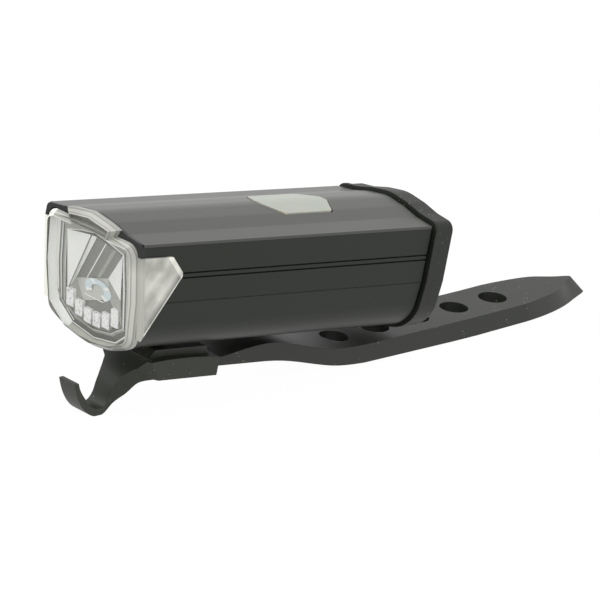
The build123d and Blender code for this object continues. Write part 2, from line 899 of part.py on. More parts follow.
def cap_seal():
    """Thin rubber band round the cap's plug."""
    plug_inset = housing_wall + cap_plug_clearance
    y_low = rear_y - cap_plug_length / 2
    top = wall_top_z - cap_seal_clearance
    band = prism(body_outline(top, housing_wall + cap_seal_clearance), y_low, y_low + cap_seal_width)
    plug_top = wall_top_z - cap_plug_clearance
    return band - prism(body_outline(plug_top, plug_inset), y_low - overrun, y_low + overrun)


def hook_point(share):
    """A place in Y and Z from the hook's share table."""
    return (-block_half_length - share[0] * hook_reach, -share[1] * hook_drop)


def hook_side():
    """Side view of the hook: a J whose arm sweeps up into the block."""
    inner = [hook_point(share) for share in hook_inner_shares]
    outer = [hook_point(share) for share in reversed(hook_outer_shares)]
    return make_face([
        Spline(*inner),
        Line(inner[-1], outer[0]),
        Spline(*outer),
        Line(outer[-1], inner[0]),
    ])


def scoop():
    """The hollow that the arm's upper face cuts into the block's nose, wider towards the top."""
    inner = [hook_point(share) for share in hook_inner_shares]
    tip, end = inner[0], inner[-1]
    roof = tier_height + overrun
    side = make_face([
        Spline(*inner),
        Polyline(end, (end[0], roof), (tip[0], roof), tip),
    ])
    front = sketch([
        (-scoop_foot_half_width, 0), (scoop_foot_half_width, 0),
        (scoop_half_width, block_height), (-scoop_half_width, block_height),
    ])
    return side_prism(side, block_half_width) & prism(front, tip[0], end[0])


def hook_plan():
    """Plan view that widens the hook from its tip to the block."""
    edge = [
        (width * block_half_width, -block_half_length - place * hook_reach)
        for width, place in hook_width_shares
    ]
    left = [(-x, y) for x, y in reversed(edge)]
    return make_face([
        Line(left[-1], edge[0]), Spline(*edge), Line(edge[-1], left[0]), Spline(*left),
    ])


def block_side():
    """Side view of the block: flat below, gently arched on top, with a nose that turns up."""
    half = block_half_length
    nose = half + block_nose
    shoulder = block_height - block_crown
    return make_face([
        ThreePointArc((half, shoulder), (0, block_height), (-half, shoulder)),
        Polyline(
            (-half, shoulder), (-nose, shoulder + block_nose_lift), (-nose, 0), (half, 0), (half, shoulder)
        ),
    ])


def nose_cut(side):
    """Wedge that takes the lower front corner off the block's nose on one side."""
    start_y = nose_cut_length - block_half_length - block_nose
    lean = (side / nose_cut_width, -1 / nose_cut_length, -1 / nose_cut_height)
    size = 2 * block_length
    wedge = Pos(0, 0, size / 2) * Box(size, size, size)
    return Plane(origin=(side * block_half_width, start_y, 0), z_dir=lean) * wedge


def strap_bracket():
    """Moulded block under the lamp with a J hook ahead and cheeks for the strap behind."""
    half = block_half_length
    block = side_prism(block_side(), block_half_width) - scoop() - nose_cut(1) - nose_cut(-1)
    block += side_prism(tier_side(), tier_half_width)
    hook = side_prism(hook_side(), block_half_width)
    low = -hook_drop - overrun
    column = Pos(0, 0, low) * extrude(hook_plan(), amount=block_height - low)
    block += hook & column
    block -= box(
        -channel_half_width, channel_half_width, half - channel_length, half + overrun,
        -overrun, block_height - block_crown - channel_roof,
    )
    block -= post(foot_radius + foot_clearance, 0, swivel_y, washer_floor_z, tier_height + overrun)
    block -= post(
        swivel_screw_radius + swivel_hole_gap, 0, swivel_y, -overrun, block_height + overrun
    )
    block -= post(
        swivel_head_radius + swivel_hole_gap, 0, swivel_y, -overrun,
        swivel_head_depth + swivel_head_height + swivel_gap,
    )
    bite = channel_half_width + strap_pin_bite
    return block - rod_x(strap_pin_radius, pivot_y, pivot_z, -bite, bite)


def tier_side():
    """Side view of the block's upper tier, with sloping ends."""
    half = tier_length / 2
    return sketch([
        (-half, 0), (half, 0), (half, block_height - block_crown), (half - tier_end_slope, tier_height),
        (-half + tier_end_slope, tier_height), (-half, block_height - block_crown),
    ])


def strap_pin():
    """Steel pin between the block's cheeks that the strap swings on."""
    bite = channel_half_width + strap_pin_bite
    return rod_x(strap_pin_radius, pivot_y, pivot_z, -bite, bite)


def swivel_washer():
    """Slippery washer between the block and the lamp's foot."""
    disc = post(washer_radius, 0, swivel_y, washer_floor_z, washer_floor_z + washer_thickness)
    return disc - post(swivel_screw_radius + swivel_hole_gap, 0, swivel_y, 0, clear_z)


def swivel_foot():
    """Round foot under the belly of the housing."""
    foot = post(foot_radius, 0, swivel_y, foot_low_z, belly_z + housing_wall)
    foot -= prism(body_outline(wall_top_z), front_y, rear_y)
    return foot - post(insert_radius, 0, swivel_y, 0, clear_z)


def thread_insert():
    """Brass insert in the foot that takes the swivel screw."""
    sleeve = post(insert_radius, 0, swivel_y, foot_low_z, belly_z + housing_wall)
    return sleeve - post(swivel_screw_radius, 0, swivel_y, 0, clear_z)


def swivel_screw():
    """Socket screw from the underside of the block into the lamp's foot."""
    z_head = swivel_head_depth + swivel_head_height
    head = post(swivel_head_radius, 0, swivel_y, swivel_head_depth, z_head)
    shank = post(swivel_screw_radius, 0, swivel_y, z_head, belly_z + housing_wall)
    key = Pos(0, swivel_y, swivel_head_depth) * extrude(
        RegularPolygon(swivel_socket_radius, 6), amount=swivel_socket_depth
    )
    return head + shank - key


def strap_side():
    """Side view of the strap: a low hump, a dip, then a long rise past the tail."""
    top = [(pivot_y + u * strap_reach, v * strap_rise) for u, v in strap_top_shares]
    floor = [(pivot_y + u * strap_reach, v * strap_rise) for u, v in strap_floor_shares]
    return make_face([
        Spline(*top),
        Line(top[-1], floor[0]),
        Spline(*floor),
        Line(floor[-1], top[0]),
    ])


def tail_section(shares, rise):
    """One outline of the tail, on a plane that climbs with the strap."""
    middle = pivot_y + strap_tail_start
    plane = Plane(origin=(0, middle, rise), x_dir=(1, 0, 0), z_dir=(0, -strap_slope, 1))
    edge = [(x * strap_half_width, y * strap_reach - strap_tail_start) for x, y in shares]
    left = [(-x, y) for x, y in reversed(edge[:-1])]
    return plane * make_face([Spline(*edge, *left), Line(left[-1], edge[0])])


def tail_column():
    """The column that trims the strap's end to a leaf, its walls leaning more and more towards the tip."""
    low = tail_section(tail_low_shares, strap_tail_low_rise)
    high = tail_section(tail_high_shares, strap_tail_high_rise)
    return loft([low, high], ruled=True)


def strap():
    """Silicone strap with five round holes and a bead that turns on the pin."""
    tail_y = pivot_y + strap_tail_start
    lowest = -strap_rise
    highest = 2 * strap_rise
    half = strap_half_width
    straight = box(-half, half, pivot_y, tail_y, lowest, highest)
    body = side_prism(strap_side(), half) & (straight + tail_column())
    for row in range(hole_count):
        y = pivot_y + hole_first_reach + row * hole_pitch
        body -= post(hole_radius, 0, y, lowest, highest)
    bead = rod_x(strap_head_radius, pivot_y, pivot_z, -half, half)
    neck_y = pivot_y + strap_top_shares[0][0] * strap_reach
    neck_low = strap_floor_shares[-1][1] * strap_rise
    neck_high = strap_top_shares[0][1] * strap_rise
    neck = box(-half, half, pivot_y, neck_y, neck_low, neck_high)
    body = body + bead + neck
    end = half + overrun
    return body - rod_x(strap_pin_radius + strap_pin_gap, pivot_y, pivot_z, -end, end)


parts = {
    "strap_bracket": strap_bracket(),
    "strap_pin": strap_pin(),
    "swivel_washer": swivel_washer(),
    "strap": strap(),
    "swivel_foot": swivel_foot(),
    "thread_insert": thread_insert(),
    "swivel_screw": swivel_screw(),
    "lower_housing": lower_housing(),
    "top_cover": top_cover(),
    "front_frame": front_frame(),
    "front_lens": front_lens(),
    "lens_gasket": lens_gasket(),
    "reflector": reflector(),
    "light_shelf": light_shelf(),
    "led_board": led_board(),
    "led_emitter": led_emitter(),
    "heat_sink": heat_sink(),
    "chassis": chassis(),
    "battery_cell": battery_cell(),
    "cell_contacts": Compound(cell_contacts()),
    "main_board": main_board(),
    "board_chips": Compound(board_chips()),
    "led_connector": led_connector(),
    "tact_switch": tact_switch(),
    "switch_plunger": switch_plunger(),
    "status_leds": Compound(status_leds()),
    "glow_frame": glow_frame(),
    "power_button": power_button(),
    "end_plate": end_plate(),
    "end_screws": Compound(end_screws()),
    "charging_socket": charging_socket(),
    "rear_cap": rear_cap(),
    "cap_seal": cap_seal(),
}

for name, solid in parts.items():
    export_step(solid, f"parts/{name}.step")
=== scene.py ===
# %% [markdown]
# # A bike headlight
#
# A slim lamp that sits on a handlebar: a black body with a softly ridged cover, a clear raked lens at the
# front, a rubbery cap at the back, and below it a hooked bracket with a long strap. The solids come from
# the CAD model. This file gives them softened edges, real finishes, and light.

import json
import math

import bmesh
import bpy
from mathutils import Matrix, Vector

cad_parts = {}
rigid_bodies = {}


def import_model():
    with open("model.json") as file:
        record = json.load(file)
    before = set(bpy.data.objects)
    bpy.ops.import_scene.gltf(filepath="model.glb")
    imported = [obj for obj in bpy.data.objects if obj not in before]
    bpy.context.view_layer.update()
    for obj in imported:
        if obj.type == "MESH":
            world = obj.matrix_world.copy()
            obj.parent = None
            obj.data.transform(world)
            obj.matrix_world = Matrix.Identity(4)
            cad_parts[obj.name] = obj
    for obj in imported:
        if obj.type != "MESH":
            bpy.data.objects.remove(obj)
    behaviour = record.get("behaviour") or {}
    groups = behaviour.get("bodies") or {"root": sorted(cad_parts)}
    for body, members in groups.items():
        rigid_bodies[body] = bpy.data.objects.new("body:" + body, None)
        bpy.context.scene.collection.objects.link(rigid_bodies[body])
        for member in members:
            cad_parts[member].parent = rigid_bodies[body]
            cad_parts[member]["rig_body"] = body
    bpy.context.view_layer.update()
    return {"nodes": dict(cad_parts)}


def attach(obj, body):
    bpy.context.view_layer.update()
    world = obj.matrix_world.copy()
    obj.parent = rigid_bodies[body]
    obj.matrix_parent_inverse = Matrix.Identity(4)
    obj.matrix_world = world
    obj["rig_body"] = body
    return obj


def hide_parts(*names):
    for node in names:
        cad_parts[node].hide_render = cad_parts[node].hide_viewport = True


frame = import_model()
MM = 0.001
nodes = frame["nodes"]

# %% [markdown]
# ## Putting things in the scene
#
# Blender keeps data, such as a mesh or a light, apart from the object that carries it, and an object only
# shows once a collection holds it. One helper does both steps for every piece below.


# %% A helper for new objects
def placed(name, data):
    """A new object at the origin, linked to the scene."""
    thing = bpy.data.objects.new(name, data)
    bpy.context.scene.collection.objects.link(thing)
    return thing


# %% [markdown]
# ## Shader sums as plain Python
#
# A material is a graph of nodes. Written node by node it is hard to read, so two small classes help: one
# wraps a socket and adds the usual operators, the other is a workbench that makes nodes and feeds sockets.
# Adding two wires then adds a Math node.


# %% A wire and a workbench
class Wire:
    """An output socket that can stand in a sum."""

    def __init__(self, bench, socket):
        self.bench = bench
        self.socket = socket

    def join(self, operation, first, second):
        return self.bench.add("ShaderNodeMath", {"operation": operation}, [first, second])

    def __add__(self, other):
        return self.join("ADD", self, other)

    def __sub__(self, other):
        return self.join("SUBTRACT", self, other)

    def __rsub__(self, other):
        return self.join("SUBTRACT", other, self)

    def __mul__(self, other):
        return self.join("MULTIPLY", self, other)

    def __lt__(self, other):
        return self.join("LESS_THAN", self, other)

    def __gt__(self, other):
        return self.join("GREATER_THAN", self, other)

    def highest(self, other):
        return self.join("MAXIMUM", self, other)

    __radd__ = __add__
    __rmul__ = __mul__


class Bench:
    """A workbench on one node tree: it makes nodes and feeds their sockets."""

    def __init__(self, tree):
        self.tree = tree

    def feed(self, socket, value):
        if isinstance(value, Wire):
            self.tree.links.new(value.socket, socket)
        else:
            socket.default_value = value

    def add(self, kind, settings, inputs, output=0):
        node = self.tree.nodes.new(kind)
        for key, value in settings.items():
            if key == "stops":
                stops = node.color_ramp.elements
                stops.remove(stops[1])
                stops[0].position = value[0][0]
                for place, _ in value[1:]:
                    stops.new(place)
                for stop, (_, shade) in zip(stops, value):
                    stop.color = (shade, shade, shade, 1)
            else:
                setattr(node, key, value)
        pairs = inputs.items() if isinstance(inputs, dict) else enumerate(inputs)
        for key, value in pairs:
            self.feed(node.inputs[key], value)
        return Wire(self, node.outputs[output])

    def split(self, vector):
        """The X, Y and Z of a vector, as three wires."""
        node = self.add("ShaderNodeSeparateXYZ", {}, [vector]).socket.node
        return [Wire(self, socket) for socket in node.outputs]


print("workbench ready")

# %% [markdown]
# ## A finish
#
# Every material here starts from the Principled shader, so a finish is a workbench that holds one. Patterns
# read Object coordinates, which move with the piece, and colours are blended by a Mix node. That node has
# several sockets with the same name, so its colours go by number.

# %% A finish on the workbench
FIRST_COLOUR, SECOND_COLOUR, MIXED_COLOUR = 6, 7, 2


class Finish(Bench):
    """A material on the workbench, with its Principled shader at hand."""

    def __init__(self, name):
        self.material = bpy.data.materials.new(name)
        self.material.use_nodes = True
        super().__init__(self.material.node_tree)
        self.shader = self.tree.nodes["Principled BSDF"]

    def set(self, values):
        for key, value in values.items():
            self.feed(self.shader.inputs[key], value)
        return self

    def where(self):
        """Object coordinates."""
        return self.add("ShaderNodeTexCoord", {}, {}, output="Object")

    def blend(self, share, first, second):
        """A colour between two others."""
        colours = {"Factor": share, FIRST_COLOUR: (*first, 1), SECOND_COLOUR: (*second, 1)}
        return self.add("ShaderNodeMix", {"data_type": "RGBA"}, colours, output=MIXED_COLOUR)


def plain(name, colour, roughness, **more):
    """A finish with one colour all over."""
    finish = Finish(name)
    finish.set({"Base Color": (*colour, 1), "Roughness": roughness})
    finish.set({key.replace("_", " "): value for key, value in more.items()})
    return finish


print("finish class ready")

# %% [markdown]
# ## Black finishes
#
# Nearly everything here is black. What tells the parts apart is gloss: the cover and the body are satin, so
# at a low angle they mirror the white studio and turn grey; the rubber of the cap and the strap is duller
# and carries dust. Each finish has a fine grain in its bump, because no moulded surface is perfectly even.

# %% Grain and dust
GRAIN_DEPTH = 0.02
DUST_COLOUR = (0.62, 0.62, 0.50)
SPECK_STOPS = [(0.09, 1.0), (0.17, 0.0)]
PATCH_STOPS = [(0.50, 0.0), (0.66, 1.0)]


def grained(name, colour, roughness, grain, size, specular):
    """A satin or matt black with a fine grain."""
    finish = plain(name, colour, roughness, Specular_IOR_Level=specular)
    noise = finish.add(
        "ShaderNodeTexNoise", {}, {"Vector": finish.where(), "Scale": 1 / (size * MM), "Detail": 2.0}
    )
    bump = finish.add(
        "ShaderNodeBump", {}, {"Strength": grain, "Distance": GRAIN_DEPTH * MM, "Height": noise}
    )
    finish.set({"Normal": bump})
    return finish


def dusty(name, colour, roughness, grain, size, specular, dust, speck):
    """Rubber with pale specks of dust, which gather in patches."""
    finish = grained(name, colour, roughness, grain, size, specular)
    where = finish.where()
    spots = finish.add(
        "ShaderNodeTexVoronoi", {}, {"Vector": where, "Scale": 1 / (speck * MM), "Randomness": 1.0}
    )
    patches = finish.add("ShaderNodeTexNoise", {}, {"Vector": where, "Scale": 180.0, "Detail": 1.0})
    near = finish.add("ShaderNodeValToRGB", {"stops": SPECK_STOPS}, {"Fac": spots})
    some = finish.add("ShaderNodeValToRGB", {"stops": PATCH_STOPS}, {"Fac": patches})
    finish.set({"Base Color": finish.blend(near * some * dust, colour, DUST_COLOUR)})
    return finish


print("dust colour:", DUST_COLOUR)

# %% The six blacks
cover_black = grained("cover_satin_black", (0.034, 0.036, 0.030), 0.34, 0.25, 0.25, 0.62)
body_black = grained("body_satin_black", (0.0115, 0.0145, 0.0095), 0.42, 0.25, 0.25, 0.28)
frame_black = grained("bezel_black", (0.006, 0.006, 0.006), 0.35, 0.1, 0.3, 0.4)
bracket_black = dusty("bracket_black", (0.020, 0.0235, 0.016), 0.45, 0.25, 0.3, 0.4, 0.25, 1.2)
cap_rubber = dusty("cap_rubber", (0.013, 0.0155, 0.011), 0.5, 0.35, 0.3, 0.33, 0.4, 1.1)
strap_rubber = dusty("strap_rubber", (0.011, 0.0135, 0.009), 0.46, 0.35, 0.3, 0.44, 0.4, 1.1)
print("nodes in the strap's rubber:", len(strap_rubber.tree.nodes))

# %% [markdown]
# ## Clear and bright finishes
#
# The window of the lens is thin for its clearness, so it gets a low alpha: the lamps' light then reaches
# the bowl behind it, which refracting glass would keep dark. The button is milky: a little light passes
# under its skin. The bowl's mirror reflections are painted: a paint for each tone that its facets show.

# %% Clear and bright finishes
lens_clear = plain("lens_clear", (0.78, 0.79, 0.74), 0.04, Alpha=0.12, Specular_IOR_Level=0.8)
button_milk = plain(
    "button_milk", (0.36, 0.38, 0.33), 0.38, Subsurface_Weight=0.3, Subsurface_Scale=2 * MM
)
# Painted reflections: each paint is a tone the bowl's mirror would show, blue for the light's dome.
reflection_paints = {
    "white": plain("bowl_white", (0.95, 0.96, 0.94), 0.30),
    "pale": plain("bowl_pale", (0.55, 0.56, 0.51), 0.30),
    "grey": plain("bowl_grey", (0.30, 0.31, 0.27), 0.25),
    "dim": plain("bowl_dim", (0.09, 0.09, 0.08), 0.20),
    "dark": plain("bowl_dark", (0.03, 0.03, 0.03), 0.25),
    "blue": plain("bowl_blue", (0.66, 0.78, 0.82), 0.15),
}
print("paints of the bowl:", len(reflection_paints))

# %% [markdown]
# ## Inner finishes
#
# The inner pieces only show where the lens or an open cap lets the eye in. They keep their solids from the
# CAD model as they are, and plain finishes do for them.

# %% Inner finishes
inner_finishes = {
    "lens_gasket": plain("gasket_black", (0.02, 0.02, 0.02), 0.6),
    "cap_seal": plain("seal_black", (0.02, 0.02, 0.02), 0.6),
    "led_board": plain("led_board_white", (0.75, 0.76, 0.76), 0.4),
    "led_emitter": plain("led_yellow", (0.85, 0.72, 0.20), 0.25),
    "heat_sink": plain("sink_aluminium", (0.6, 0.6, 0.61), 0.35, Metallic=1.0),
    "chassis": plain("cradle_grey", (0.05, 0.05, 0.053), 0.5),
    "end_plate": plain("end_plate_grey", (0.05, 0.05, 0.053), 0.5),
    "battery_cell": plain("cell_wrap_blue", (0.05, 0.16, 0.36), 0.35),
    "cell_contacts": plain("contact_nickel", (0.62, 0.60, 0.56), 0.3, Metallic=1.0),
    "main_board": plain("board_green", (0.02, 0.16, 0.08), 0.35),
    "board_chips": plain("chip_black", (0.015, 0.015, 0.015), 0.45),
    "led_connector": plain("plug_white", (0.72, 0.72, 0.68), 0.45),
    "glow_frame": plain("glow_frame_white", (0.78, 0.78, 0.76), 0.5),
    "tact_switch": plain("switch_steel", (0.5, 0.5, 0.5), 0.35, Metallic=1.0),
    "switch_plunger": plain("plunger_black", (0.02, 0.02, 0.02), 0.4),
    "status_leds": plain("status_clear", (0.8, 0.82, 0.78), 0.3),
    "end_screws": plain("end_screw_steel", (0.4, 0.4, 0.41), 0.3, Metallic=1.0),
    "swivel_screw": plain("swivel_screw_steel", (0.32, 0.32, 0.33), 0.3, Metallic=1.0),
    "strap_pin": plain("pin_steel", (0.5, 0.5, 0.51), 0.3, Metallic=1.0),
    "thread_insert": plain("insert_brass", (0.70, 0.50, 0.22), 0.3, Metallic=1.0),
    "swivel_washer": plain("washer_white", (0.70, 0.70, 0.68), 0.5),
    "charging_socket": plain("socket_steel", (0.55, 0.55, 0.55), 0.3, Metallic=1.0),
}
for name, finish in inner_finishes.items():
    nodes[name].data.materials.clear()
    nodes[name].data.materials.append(finish.material)
print("inner pieces with a finish:", len(inner_finishes))

# %% [markdown]
# ## Softened copies of the solids
#
# The solids have knife edges, and no real edge is that sharp: a thin round catches a line of light and makes
# a thing look solid. A copy of each solid is welded, its flat triangles are joined back into faces, and a
# bevel rounds every edge that is sharper than a limit. The copy then stands for the solid.

# %% A helper for softened copies
WELD = 0.002
FLAT_ANGLE = 0.6
SHARP_ANGLE = 28
ROUND_SEGMENTS = 3


def softened(name, node, finish, width):
    """A welded copy of a CAD node with rounded edges, standing for that node."""
    mesh = nodes[node].data.copy()
    mesh.materials.clear()
    piece = placed(name, mesh)
    work = bmesh.new()
    work.from_mesh(mesh)
    bmesh.ops.remove_doubles(work, verts=work.verts, dist=WELD * MM)
    bmesh.ops.dissolve_limit(
        work, angle_limit=math.radians(FLAT_ANGLE), verts=work.verts, edges=work.edges
    )
    work.to_mesh(mesh)
    work.free()
    mesh.materials.append(finish.material)
    bevel = piece.modifiers.new("round edges", "BEVEL")
    bevel.width = width * MM
    bevel.segments = ROUND_SEGMENTS
    bevel.limit_method = "ANGLE"
    bevel.angle_limit = math.radians(SHARP_ANGLE)
    bevel.harden_normals = False
    bevel.miter_outer = "MITER_ARC"
    mesh.shade_smooth()
    smooth = piece.modifiers.new("flat faces", "WEIGHTED_NORMAL")
    smooth.keep_sharp = True
    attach(piece, nodes[node]["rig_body"])
    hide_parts(node)
    print(name, "faces", len(mesh.polygons))
    return piece


print("edges sharper than", SHARP_ANGLE, "degrees are rounded")

# %% Softened copies
for name, node, finish, width in (
    ("body_shell", "lower_housing", body_black, 0.18),
    ("ridged_cover", "top_cover", cover_black, 0.35),
    ("end_cap", "rear_cap", cap_rubber, 0.45),
    ("bezel", "front_frame", frame_black, 0.12),
    ("hook_bracket", "strap_bracket", bracket_black, 0.3),
    ("holed_strap", "strap", strap_rubber, 0.6),
    ("swivel_foot_round", "swivel_foot", body_black, 0.2),
    ("milky_button", "power_button", button_milk, 0.25),
    ("light_tray", "light_shelf", lens_clear, 0.1),
):
    softened(name, node, finish, width)

# %% [markdown]
# ## Painted light in the pale glass of rim and ears
#
# Only the window of the real lens looks clear. Its rim and its two ears are thick and full of light and look
# like pale glass, with bright and dark lines where the light bends. Real refraction would need the room of
# the photograph around it. Painting the lines is surer: two measures, the depth behind the raked face and
# the distance to an ear's edge, run through colour ramps, so the lines follow the shape. All lengths here
# are in millimetres.

# %% Measures in the glass
FRONT_Y = -26.7
LEDGE_Z = 33.7
LENS_LEAD = 1.1
RAKE_ANGLE = 12.0
RAKE = math.tan(math.radians(RAKE_ANGLE))
EAR_TIP = (-12.6, 26.8)
EAR_SHOULDER = (-16.6, 30.8)
EAR_FOOT = (-21.7, 12.3)

glass_painted_light = Finish("lens_glass_painted_light")
where = glass_painted_light.where()
across, along, height = (axis * (1 / MM) for axis in glass_painted_light.split(where))


def depth_behind(y, z):
    """How far a place lies behind the raked face of the lens, for numbers or for wires."""
    return y + z * RAKE + (LENS_LEAD - FRONT_Y - RAKE * LEDGE_Z)


def inward(start, end):
    """The distance of a point of an ear from the edge between two of its corners, inwards."""
    run, rise = end[0] - start[0], end[1] - start[1]
    size = math.hypot(run, rise)
    return (along - start[0]) * (rise / size) - (height - start[1]) * (run / size)


def ramp(finish, value, low, high, stops):
    """A grey ramp over a value, with its stops given in the value's own unit."""
    places = [((place - low) / (high - low), shade) for place, shade in stops]
    return finish.add("ShaderNodeValToRGB", {"stops": places}, {"Fac": (value - low) * (1 / (high - low))})


depth = depth_behind(along, height)
print("ear edge from tip to foot:", round(math.dist(EAR_TIP, EAR_FOOT), 1), "mm")

# %% Ramps for the lines
FAR_RIM_X = -11.5
FAR_RIM_SHADE = 0.97
EAR_DEPTH = 2.45
LIGHT_CLOUD_BASE = 0.24
LIGHT_CLOUD_GAIN = 1.32
TIP_GAIN = 0.35
GLASS_DARK = (0.02, 0.02, 0.02)
GLASS_PALE = (1.0, 1.0, 0.90)

# Painted light: lines of bent light by depth behind the face, and the rim lighter at mid height.
rim_lines = ramp(glass_painted_light, depth, 0, 4, [
    (0.0, 0.62), (0.22, 0.66), (0.34, 0.26), (0.48, 0.62), (1.05, 0.66), (1.18, 0.28), (1.45, 0.52),
    (2.0, 0.46), (2.4, 0.50),
])
rim_height = ramp(glass_painted_light, height, 8, 36, [(8, 0.62), (13, 0.90), (27, 1.0), (31.5, 0.62), (36, 0.58)])
# Painted light and shade in lines along the foot of each ear.
foot_line = ramp(glass_painted_light, inward(EAR_TIP, EAR_FOOT), 0, 8, [
    (0.0, 0.78), (0.26, 0.70), (0.42, 0.20), (1.0, 0.34), (2.2, 0.62), (4.4, 0.46), (6.4, 0.66), (8.0, 0.56),
])
# A painted highlight on the facet at the tip of each ear.
tip_facet = ramp(glass_painted_light, inward(EAR_SHOULDER, EAR_TIP), 0, 4, [(0.0, 0.9), (1.0, 0.9), (1.12, 0.0)])
# A cloudy painted glow of light inside the ears.
painted_light_clouds = glass_painted_light.add("ShaderNodeTexNoise", {}, {"Vector": where, "Scale": 190.0, "Detail": 2.0})

# The far rim is painted near white as painted light; the ears get their own painted light and shade.
far_side = across < FAR_RIM_X
on_ear = depth > EAR_DEPTH
rim_shade = rim_lines * rim_height * (1 - far_side) + far_side * FAR_RIM_SHADE
ear_shade = foot_line * (LIGHT_CLOUD_BASE + painted_light_clouds * LIGHT_CLOUD_GAIN) + tip_facet * TIP_GAIN
shade = rim_shade * (1 - on_ear) + ear_shade * on_ear
glass_painted_light.set({
    "Base Color": glass_painted_light.blend(shade, GLASS_DARK, GLASS_PALE), "Roughness": 0.22, "Specular IOR Level": 0.5,
})
print("nodes in the pale glass:", len(glass_painted_light.tree.nodes))

# %% [markdown]
# ## The lens
#
# The lens is one softened piece with two finishes. Which one a face gets depends on where it lies: the faces
# of the window lie along the rake, near the front and away from the sides. The rest is pale glass.

# %% The lens
WINDOW_BACK = 1.9
WINDOW_HALF = 14.0
ALONG_RAKE = 0.99

lens = softened("clear_lens", "front_lens", lens_clear, 0.2)
lens.data.materials.append(glass_painted_light.material)
face_way = Vector((0, -1, -RAKE)).normalized()
for face in lens.data.polygons:
    middle = face.center / MM
    window = abs(face.normal.dot(face_way)) > ALONG_RAKE and abs(middle.x) < WINDOW_HALF
    window = window and depth_behind(middle.y, middle.z) < WINDOW_BACK
    face.material_index = 0 if window else 1
print("window faces:", sum(face.material_index == 0 for face in lens.data.polygons))

# %% [markdown]
# ## The bowl behind the lens
#
# The bowl is a faceted mirror, and its reflections are painted: each facet gets a paint for the part of the
# room it would show, some white, some dark. Its mouth is framed by a stepped surround. Every corner is given
# as (x, depth behind the face, height above the ledge), so the whole bowl leans with the lens. A small class
# collects the facets, each with its paint, and builds one mesh from them.


# %% A helper for painted facets
class Facets:
    """A mesh made corner by corner, where every facet has its own paint."""

    def __init__(self):
        self.corners = []
        self.facets = []
        self.reflection_paints = []

    def add(self, corners, paint):
        start = len(self.corners)
        self.corners += corners
        self.facets.append(list(range(start, start + len(corners))))
        self.reflection_paints.append(paint)

    def build(self, name, body):
        mesh = bpy.data.meshes.new(name)
        places = [
            (x * MM, (FRONT_Y - LENS_LEAD + depth - RAKE * z) * MM, (LEDGE_Z + z) * MM)
            for x, depth, z in self.corners
        ]
        mesh.from_pydata(places, [], self.facets)
        used = sorted(set(self.reflection_paints))
        for paint in used:
            mesh.materials.append(reflection_paints[paint].material)
        for face, paint in zip(mesh.polygons, self.reflection_paints):
            face.material_index = used.index(paint)
        piece = placed(name, mesh)
        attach(piece, body)
        return piece


def between(first, second, share):
    """The point at a share of the way between two points."""
    return tuple(a + (b - a) * share for a, b in zip(first, second))


facets = Facets()
print("paints to choose from:", sorted(reflection_paints))

# %% [markdown]
# ## The stepped surround
#
# The surround runs round the mouth in bands of painted reflection, light and dark, and the near side, the
# far side, the top and the foot each show other bands. A band starts at a share of the way from the mouth to
# the edge, at a depth, and has a paint. Behind the edge a low wall, painted white on the far side and pale
# elsewhere, closes the surround.

# %% The stepped surround
RIM_DEPTH = 2.1
WALL_FRONT = 0.45
UPPER_PART = -12
MOUTH = [(0, -2.3), (4.4, -3.1), (8.9, -4.3), (9.3, -12.0), (9.3, -20.6), (5.6, -23.0), (0, -23.9)]
SURROUND_EDGE = [
    (0, -0.6), (6.4, -0.8), (12.6, -1.6), (13.4, -12.0), (12.6, -21.4), (7.6, -25.6), (0, -26.9)
]
NEAR_BANDS = [
    (0.0, RIM_DEPTH, "white"), (0.10, 2.2, "dark"), (0.22, 2.3, "pale"), (0.55, 2.3, "dim"),
    (0.66, 2.3, "pale"), (0.80, 2.2, "white"), (1.0, RIM_DEPTH, None),
]
FAR_BANDS = [
    (0.0, RIM_DEPTH, "white"), (0.06, 2.2, "dark"), (0.10, 2.3, "pale"), (0.17, 2.4, "grey"),
    (0.29, 2.4, "dark"), (0.39, 2.3, "white"), (0.46, 2.3, "grey"), (0.53, 2.3, "dark"),
    (0.59, 2.2, "white"), (1.0, RIM_DEPTH, None),
]
TOP_BANDS = [(0.0, RIM_DEPTH, "white"), (0.08, 2.3, "grey"), (0.5, 2.3, "pale"), (1.0, RIM_DEPTH, None)]
FOOT_BANDS = [
    (0.0, RIM_DEPTH, "white"), (0.08, 2.3, "grey"), (0.22, 2.3, "dim"), (0.62, 2.3, "white"),
    (0.70, 2.3, "grey"), (0.82, 2.2, "pale"), (1.0, RIM_DEPTH, None),
]


def both_halves(half):
    """A closed loop from its right half, listed from the top to the bottom."""
    return half + [(-x, z) for x, z in reversed(half[1:-1])]


mouth_loop, edge_loop = both_halves(MOUTH), both_halves(SURROUND_EDGE)
count = len(mouth_loop)
for here in range(count):
    after = (here + 1) % count
    if here in (2, 3):
        bands = NEAR_BANDS
    elif here in range(count - 5, count - 2):
        bands = FAR_BANDS
    else:
        upper = max(mouth_loop[here][1], mouth_loop[after][1]) > UPPER_PART
        bands = TOP_BANDS if upper else FOOT_BANDS
    for (share, start_depth, paint), (end, end_depth, _) in zip(bands, bands[1:]):
        ring = []
        for spot, out, down in (
            (here, share, start_depth), (after, share, start_depth), (after, end, end_depth),
            (here, end, end_depth),
        ):
            x, z = between(mouth_loop[spot], edge_loop[spot], out)
            ring.append((x, down, z))
        facets.add(ring, paint)
    (x, z), (next_x, next_z) = edge_loop[here], edge_loop[after]
    wall = [
        (x, RIM_DEPTH, z), (next_x, RIM_DEPTH, next_z), (next_x, WALL_FRONT, next_z), (x, WALL_FRONT, z)
    ]
    facets.add(wall, "white" if bands is FAR_BANDS else "pale")
print("facets of the surround:", len(facets.facets))
